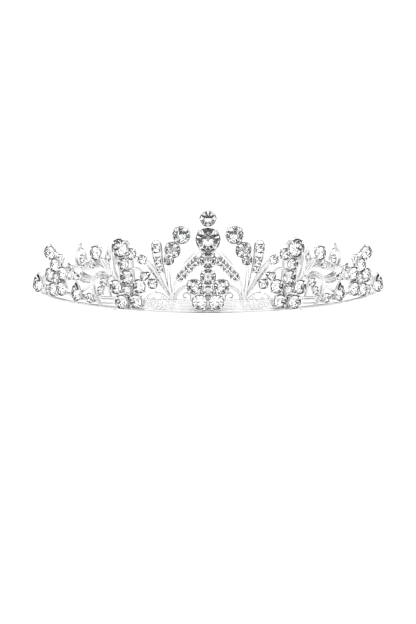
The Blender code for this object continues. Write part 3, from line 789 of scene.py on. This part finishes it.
# %% [markdown]
# ## Cups and claws
#
# A stone sits in a cup with a thin rim, and claws are bent over its girdle. The cup is a profile
# turned about the stone's axis; on a pear it follows the pear's outline. A claw is a short wire
# that climbs the cup, leans over the crown and ends in a round bead, which the jeweller's
# burnisher leaves.

# %% Turn the cups and bend the claws
CLAW_SIDES = 8


def add_cup(shape, place, diameter, form, foot, turns=24, closed=True):
    """Adds a stone's cup, from its foot to its rim. A closed cup's seat takes material 1, painted shade."""
    radius = diameter / 2
    wall = min(0.32 if closed else 0.45, 0.08 * diameter + 0.08)
    rim = 1.1 if closed else 1.04
    # (share of the radius, height, share of the wall's thickness outside that)
    profile = [
        (0.56, -foot, 0), (0.66, -foot, 0), (0.86, -0.55 * foot, 1), (rim - 0.04, -0.16 * diameter, 1),
        (rim, -0.05 * diameter, 1), (rim, 0.0, 1), (rim - 0.01, 0.02 * diameter, 0.75),
        (rim - 0.01, 0.0, 0.4), (0.99, -0.05 * diameter, 0), (0.7, -0.2 * diameter, 0),
    ]
    rings = []
    for i in range(turns):
        x, y = outline_point(form, 2 * math.pi * i / turns)
        away = Vector((x, y, 0)).normalized() * wall
        rings.append(
            [place @ (Vector((x * r * radius, y * r * radius, h)) + away * out) for r, h, out in profile]
        )
    # faces 7 and 8 of the profile, the closed cup's seat, take the painted shade
    join_rings(shape, rings, closed=True, second=(7, 8) if closed else ())


def add_claw(shape, place, diameter, form, degrees, thick):
    """Adds one claw, at an angle round the stone."""
    angle = math.radians(degrees)
    x, y = outline_point(form, angle)
    edge = Vector((x, y, 0)) * diameter / 2
    away = edge.normalized()
    crown = 0.17 * diameter
    # (mm out from the girdle, height over it, share of the claw's thickness)
    path = [
        (0.42, -0.3 * diameter, 0.8), (0.45, -0.1 * diameter, 1.0), (0.38, 0.05 * diameter, 1.0),
        (0.05, 0.13 * diameter, 1.0), (-0.38, crown + 0.1, 1.1), (-0.62, crown + 0.12, 0.95),
        (-0.78, crown + 0.08, 0.35),
    ]
    points = [edge + away * out + Vector((0, 0, height)) for out, height, _ in path]
    sideways = Vector((0, 0, 1)).cross(away)
    rings = []
    for i, point in enumerate(points):
        run = (points[min(i + 1, len(points) - 1)] - points[max(i - 1, 0)]).normalized()
        over = run.cross(sideways).normalized()
        ring = []
        for k in range(CLAW_SIDES):
            turn = 2 * math.pi * k / CLAW_SIDES
            reach = thick / 2 * path[i][2]
            ring.append(place @ (point + (sideways * math.cos(turn) + over * math.sin(turn)) * reach))
        rings.append(ring)
    join_rings(shape, rings)


def claw_angles(form, start):
    """Where the claws stand: at a pear's tip and shoulders, or four evenly round."""
    return {"pear": (90, 200, 340), "pointed": (90, 270), "triangle": (90, 210, 330)}.get(
        form, (start, start + 90, start + 180, start + 270)
    )


settings = bmesh.new()
for node, (place, diameter, form) in LARGE.items():
    # open cups hold the crest, centre and twin stones, and have no painted seat shade
    closed = not node.startswith(("crest", "center", "twin"))
    add_cup(settings, place, diameter, form, 0.36 * diameter + 0.8, closed=closed)
    start = 0 if node.startswith(("crest_top", "tip")) else 45
    for degrees in claw_angles(form, start):
        add_claw(settings, place, diameter, form, degrees, 0.75 if diameter < 7 else 0.95)
finish_piece("stone_cups", settings, [silver, seat_painted_shade])

settings = bmesh.new()
for place, width, form in small_places:
    add_cup(settings, place, width, form, 0.36 * width + 0.5, turns=18)
    for degrees in claw_angles(form, 45):
        add_claw(settings, place, width, form, degrees, 0.55)
finish_piece("small_stone_cups", settings, [silver, seat_painted_shade])

# %% [markdown]
# ## Grains and the flowers' back plates
#
# Milgrain is a row of tiny beads rolled along an edge. Here it follows the lower rail, the
# feathers and the arms. A small ball of eighty faces is enough for a bead under a millimetre. The
# flowers' petals are joined by a plate behind them.

# %% Add the grains


def add_bead(shape, arc, height, proud, diameter):
    """Adds a ball on the layout."""
    made = bmesh.ops.create_icosphere(shape, subdivisions=2, radius=diameter / 2)
    bmesh.ops.transform(shape, matrix=axes_at(arc, height, proud), verts=made["verts"])


def bead_row(shape, route, pitch, diameter, proud):
    """Adds beads a pitch apart along a route, on both halves."""
    path = curve_through(route)
    distances = travelled(path)
    count = round(distances[-1] / pitch)
    for i in range(count + 1):
        arc, height = point_on(path, distances, distances[-1] * i / count)
        for side in (1, -1):
            add_bead(shape, side * arc, height, proud, diameter)


grains = bmesh.new()
bead_row(grains, [(24.5, 0.5), (56.0, 0.5), (87.4, 0.5)], 1.05, 0.8, 1.35)
bead_row(grains, [(0.0, 1.5), (2.6, 1.5)], 0.9, 0.7, 1.35)
for side in (0.86, -0.86):
    for route, widths, skip in ((FEATHER, FEATHER_WIDTHS, 2), (ARM, ARM_WIDTHS, 1)):
        samples = run_along(route, widths, 0.72)
        for i in range(skip, len(samples) - 1):
            arc, height, width, _ = samples[i]
            before, after = samples[i - 1], samples[i + 1]
            run = Vector((after[0] - before[0], after[1] - before[1])).normalized()
            edge = (arc - run.y * side * width / 2, height + run.x * side * width / 2)
            for half in (1, -1):
                add_bead(grains, half * edge[0], edge[1], 1.66, 0.5)
for side in (1, -1):
    add_bead(grains, side * 53.5, 22.7, 1.9, 1.5)
finish_piece("milgrain", grains, [silver])

plates = bmesh.new()
for middle, petal_reach in (((0, 8.4), 4.6), ((30.2, 7.5), 4.3), ((66.4, 8.8), 4.3)):
    # from the lobed plate to the round post that carries the middle stone
    steps = [(petal_reach, 0.35), (petal_reach, 1.1), (1.9, 1.4), (1.7, 2.4), (1.2, 2.4)]
    for half in (1, -1) if middle[0] else (1,):
        rings = []
        for reach, proud in steps:
            ring = []
            for k in range(40):
                angle = 2 * math.pi * k / 40
                lobed = reach * (1 + 0.12 * math.cos(5 * (angle - math.pi / 2))) if reach > 2 else reach
                spot = (half * (middle[0] + lobed * math.cos(angle)), middle[1] + lobed * math.sin(angle))
                ring.append(at(*spot, proud))
            rings.append(ring)
        join_rings(plates, rings)
finish_piece("flower_plates", plates, [silver])

# %% [markdown]
# ## The side strips and their combs
#
# Each strip is cut and pressed with its comb in one go, then bent round the head. It runs behind
# the casting's end, follows the ring and goes straight for its last part. The teeth come down from
# it and curl in a little. The slots between them have round tops, as a punch leaves them. The
# strip carries a UV map in millimetres for the grain of its steel.

# %% Press the strips and their teeth
LAP, LAP_GAP, HALF_THICK = 8.0, 0.3, 0.4  # mm
STRIP_RADIUS = RING - LAP_GAP - HALF_THICK  # mm, to the strip's middle
STRIP_START, STRIP_TURN = (HALF_ARC - LAP) / LAYOUT, math.radians(118)
STRAIGHT = 55.0  # mm
STRIP_LOW, STRIP_HIGH = 0.2, 3.8  # mm, over the band's lower edge
HALF_TALL = (STRIP_HIGH - STRIP_LOW) / 2
TEETH, COMB, TOOTH_DROP, CURL = 5, 24.0, 19.0, 4.5  # number, then the comb's width and so on in mm
ROOT_INSET = 0.95  # mm, from the comb's end to the middle of its first tooth


def strip_middle(distance):
    """The strip's middle line and outward direction, at a distance in mm from its lapped end."""
    bend = (STRIP_TURN - STRIP_START) * STRIP_RADIUS
    angle = STRIP_START + min(distance, bend) / STRIP_RADIUS
    out = Vector((math.sin(angle), -math.cos(angle), 0))
    run = Vector((math.cos(angle), math.sin(angle), 0))
    return out * STRIP_RADIUS + run * max(distance - bend, 0), out, run


STRIP_LENGTH = (STRIP_TURN - STRIP_START) * STRIP_RADIUS + STRAIGHT


def map_grain(shape, ring_sets):
    """Writes the strip's UV map from a lookup of vertex to (along, across) in mm."""
    layer = shape.loops.layers.uv.verify()
    for face in shape.faces:
        for loop in face.loops:
            loop[layer].uv = ring_sets.get(loop.vert, (0.0, 0.0))


def add_sheet_run(shape, spots, centres, half_width, half_thick, along_of):
    """Adds a bar with rounded corners through centres of (point, across, through) directions."""
    corners = [(-1, -0.4), (-0.93, -0.85), (-0.8, -1), (0.8, -1), (0.93, -0.85), (1, -0.4)]
    corners += [(-s, -t) for s, t in corners]
    rings = []
    for k, (point, across, through) in enumerate(centres):
        ring = []
        for s, t in corners:
            w = half_width[k] if isinstance(half_width, list) else half_width
            d = half_thick[k] if isinstance(half_thick, list) else half_thick
            vertex = shape.verts.new(TO_REST @ (point + across * s * w + through * t * d))
            spots[vertex] = (along_of[k], s * w)
            ring.append(vertex)
        rings.append(ring)
    for near, far in zip(rings, rings[1:]):
        for i in range(len(near)):
            j = (i + 1) % len(near)
            shape.faces.new((near[i], near[j], far[j], far[i]))
    shape.faces.new(rings[0])
    shape.faces.new(rings[-1])


for side, label in ((1, "right"), (-1, "left")):
    strip = bmesh.new()
    spots = {}
    mirror = Matrix.Diagonal((side, 1, 1, 1))
    middle_height = (STRIP_LOW + STRIP_HIGH) / 2
    steps = 90
    marks = [STRIP_LENGTH * i / steps for i in range(steps + 1)]
    # the corners at the strip's ends are rounded, over the last 0.6 mm
    marks = marks[:1] + [0.15, 0.5] + marks[1:-1] + [STRIP_LENGTH - 0.5, STRIP_LENGTH - 0.15, STRIP_LENGTH]
    centres, tall = [], []
    for mark in marks:
        point, out, run = strip_middle(mark)
        reach = min(mark, STRIP_LENGTH - mark)
        tall.append(HALF_TALL - 0.5 * max(0.0, 1 - reach / 0.6) ** 2)
        centres.append((mirror @ (point + Vector((0, 0, middle_height))), Vector((0, 0, 1)), mirror @ out))
    add_sheet_run(strip, spots, centres, tall, HALF_THICK, marks)
    roots = []
    for i in range(TEETH):
        root = STRIP_LENGTH - ROOT_INSET - (COMB - 2 * ROOT_INSET) * (1 - i / (TEETH - 1))
        roots.append(root)
        point, out, run = strip_middle(root)
        centres, wide, thick, along = [], [], [], []
        drop = TOOTH_DROP + 1.2
        for t in [0, 0.06, 0.12, 0.2, 0.3, 0.4, 0.5, 0.6, 0.7, 0.8, 0.88, 0.95, 0.98, 0.995, 1.0]:
            curl = -out * CURL * (t**2)
            spot = point + curl + Vector((0, 0, STRIP_LOW + 1.2 - drop * t))
            slope = Vector((0, 0, -drop)) - out * (2 * CURL * t)
            through = slope.cross(run).normalized()
            tip = 1.0 if t < 0.93 else math.sqrt(max(0.02, 1 - ((t - 0.93) / 0.07) ** 2))
            centres.append((mirror @ spot, mirror @ run, mirror @ through))
            wide.append((0.8 - 0.3 * t) * tip)
            thick.append((0.42 + 0.06 * t) * tip)
            along.append(drop * t)
        add_sheet_run(strip, spots, centres, wide, thick, along)
    # round-topped webs between the teeth
    for near, far in zip(roots, roots[1:]):
        centres, tall, along = [], [], []
        count = 14
        for k in range(count + 1):
            share = k / count
            point, out, run = strip_middle(near + (far - near) * share)
            arch = math.sqrt(max(0.0, 1 - (2 * share - 1) ** 2))
            deep = 2.6 - 2.3 * arch
            spot = point + Vector((0, 0, STRIP_LOW + 0.3 - deep / 2)) - out * 0.02
            centres.append((mirror @ spot, Vector((0, 0, 1)), mirror @ out))
            tall.append(deep / 2 + 0.3)
            along.append(near + (far - near) * share)
        add_sheet_run(strip, spots, centres, tall, 0.38, along)
    bmesh.ops.recalc_face_normals(strip, faces=strip.faces)
    map_grain(strip, spots)
    name = f"strip_and_comb_{label}"
    piece = finish_piece(name, strip, [satin], stands_for=[f"side_comb_{label}"])
    piece.data.uv_layers[0].name = "strip"
pitch = (COMB - 2 * ROOT_INSET) / (TEETH - 1)
print(f"each strip is {STRIP_LENGTH:.1f} mm long, with {TEETH} teeth {pitch:.2f} mm apart")

# %% [markdown]
# ## Floor, soft light and flags
#
# Silver and crystal show nothing but what is round them. A white room alone leaves them blank, so
# a studio adds dark cards, called flags, whose reflections draw the edges of each facet and wire.
# One set of flags could serve both, but silver needs soft grey edges and crystal needs hard black
# ones. So black felt is seen only through crystal, and grey card only in metal. The flags are
# hidden from the camera and cast no shade. The floor is matt, so it doesn't mirror them either.

# %% Set up the studio
scene = bpy.context.scene


def add_card(name, corners, material):
    """A flat card that isn't part of the tiara."""
    mesh = bpy.data.meshes.new(name)
    mesh.from_pydata(corners, [], [range(len(corners))])
    mesh.materials.append(material)
    card = bpy.data.objects.new(name, mesh)
    scene.collection.objects.link(card)
    card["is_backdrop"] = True
    return card


paper, tree, shader = new_material(
    "studio_paper_matt", {"Base Color": colour("#FAFAFA"), "Roughness": 0.9, "Specular IOR Level": 0.0}
)
spot = add_node(tree, "ShaderNodeTexCoord")
fibre = add_node(tree, "ShaderNodeTexNoise", {"Scale": 400.0}, {"Vector": spot.outputs["Object"]})
tone = add_node(tree, "ShaderNodeValToRGB", links={"Fac": fibre.outputs["Fac"]})
tone.color_ramp.elements[0].color = colour("#F8F8F8")
tone.color_ramp.elements[1].color = colour("#FCFCFC")
tree.links.new(tone.outputs["Color"], shader.inputs["Base Color"])
add_card("floor", [(-3, -3, 0), (3, -3, 0), (3, 3, 0), (-3, 3, 0)], paper)

felt = new_material("flag_felt_black", {"Base Color": colour("#040404"), "Roughness": 1.0})[0]
grey_card = new_material("flag_card_grey", {"Base Color": colour("#707070"), "Roughness": 1.0})[0]
CARD_DISTANCE = 1.3  # m
# (azimuth from, to, elevation from, to) in degrees; azimuth 0 is straight in front, 180 behind
STONE_FLAGS = [
    (-9, 9, 0, 16), (-52, -24, 0, 24), (24, 52, 0, 24), (-33, -15, 33, 51), (15, 33, 33, 51),
    (-80, -62, 8, 60), (62, 80, 8, 60), (-14, 14, 60, 77), (-122, -94, 0, 32), (94, 122, 0, 32),
]
METAL_FLAGS = [
    (108, 143, 0, 34), (-143, -108, 0, 34), (150, 210, 30, 60),
    (62, 84, 0, 45), (-84, -62, 0, 45), (-5, 5, 0, 9),
]
# (x from, to, y from, to) in metres, just over the floor
FLOOR_FLAGS = [(-0.045, 0.045, -0.4, -0.1), (-0.16, -0.075, -0.32, -0.12), (0.075, 0.16, -0.32, -0.12)]
FLAG_LIFT = 0.0005  # m


def on_dome(azimuth, elevation):
    """A point of the dome of cards round the tiara, at angles in degrees."""
    a, e = math.radians(azimuth), math.radians(elevation)
    return Vector((math.sin(a) * math.cos(e), -math.cos(a) * math.cos(e), math.sin(e))) * CARD_DISTANCE


def add_flag(name, corners, glossy):
    """A card that casts no shade and is seen either in metal or through crystal."""
    card = add_card(name, corners, grey_card if glossy else felt)
    card.visible_camera = card.visible_diffuse = card.visible_shadow = False
    card.visible_glossy, card.visible_transmission = glossy, not glossy
    return card


for glossy, spans in ((False, STONE_FLAGS), (True, METAL_FLAGS)):
    for k, (left, right, low, high) in enumerate(spans):
        corners = [on_dome(left, low), on_dome(right, low), on_dome(right, high), on_dome(left, high)]
        add_flag(f"flag_{'metal' if glossy else 'stones'}_{k}", corners, glossy)
for k, (left, right, front, back) in enumerate(FLOOR_FLAGS):
    corners = [(left, front), (right, front), (right, back), (left, back)]
    add_flag(f"flag_floor_{k}", [(*corner, FLAG_LIFT) for corner in corners], False)

world = bpy.data.worlds.new("white_room")
world.use_nodes = True
room = world.node_tree.nodes["Background"]
room.inputs["Color"].default_value = colour("#FFFFFF")
room.inputs["Strength"].default_value = 1.15
scene.world = world


# (name, place in metres, size, watts, whether only crystal shows it)
SOFTBOXES = [
    ("over", (0.0, -0.3, 1.4), 0.7, 6.0, False), ("left", (-1.1, -1.0, 0.9), 0.25, 3.0, False),
    ("right", (1.1, -1.0, 0.9), 0.25, 3.0, False), ("stones_left", (-0.9, -1.6, 0.9), 1.2, 8.0, True),
    ("stones_right", (0.9, -1.6, 0.9), 1.2, 8.0, True), ("stones_low", (0.0, -1.9, 0.25), 0.9, 1.2, True),
]
for name, place, size, watts, for_stones in SOFTBOXES:
    light = bpy.data.lights.new(f"softbox_{name}", "AREA")
    light.size, light.energy = size, watts
    lamp = bpy.data.objects.new(f"softbox_{name}", light)
    lamp.location = place
    lamp.rotation_euler = (Vector((0, 0, 0.02)) - Vector(place)).to_track_quat("-Z", "Y").to_euler()
    lamp.visible_glossy = lamp.visible_diffuse = not for_stones
    scene.collection.objects.link(lamp)
print(len(STONE_FLAGS + METAL_FLAGS + FLOOR_FLAGS), "flags and", len(SOFTBOXES), "softboxes")

# %% [markdown]
# ## The camera
#
# The tiara is seen straight from the front and from as low as the floor allows, through a long
# lens, so that the band stays almost level and the arms show little convergence.

# %% Set the camera
lens = bpy.data.cameras.new("camera")
lens.sensor_fit = "HORIZONTAL"
lens.sensor_width = 36.0
lens.lens = 195.7
lens.shift_y = -0.03
lens.clip_start = 0.05
camera = bpy.data.objects.new("camera", lens)
camera.location = (0.0, -0.9, 0.005)
camera.rotation_euler = (math.radians(90), 0, 0)
scene.collection.objects.link(camera)
scene.camera = camera
scene.view_settings.view_transform = "Standard"

# %% [markdown]
# ## Measure and finish
#
# The last cell measures the finished tiara and prints its box beside that of the frame it was
# built on.

# %% Print both boxes and finish
boxes = {"cad": [list(corner) for corner in CAD_BOX], "visual": [list(corner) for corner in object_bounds()]}
for label, (low, high) in boxes.items():
    print(label, "box:", " x ".join(f"{1000 * (b - a):.2f}" for a, b in zip(low, high)), "mm")
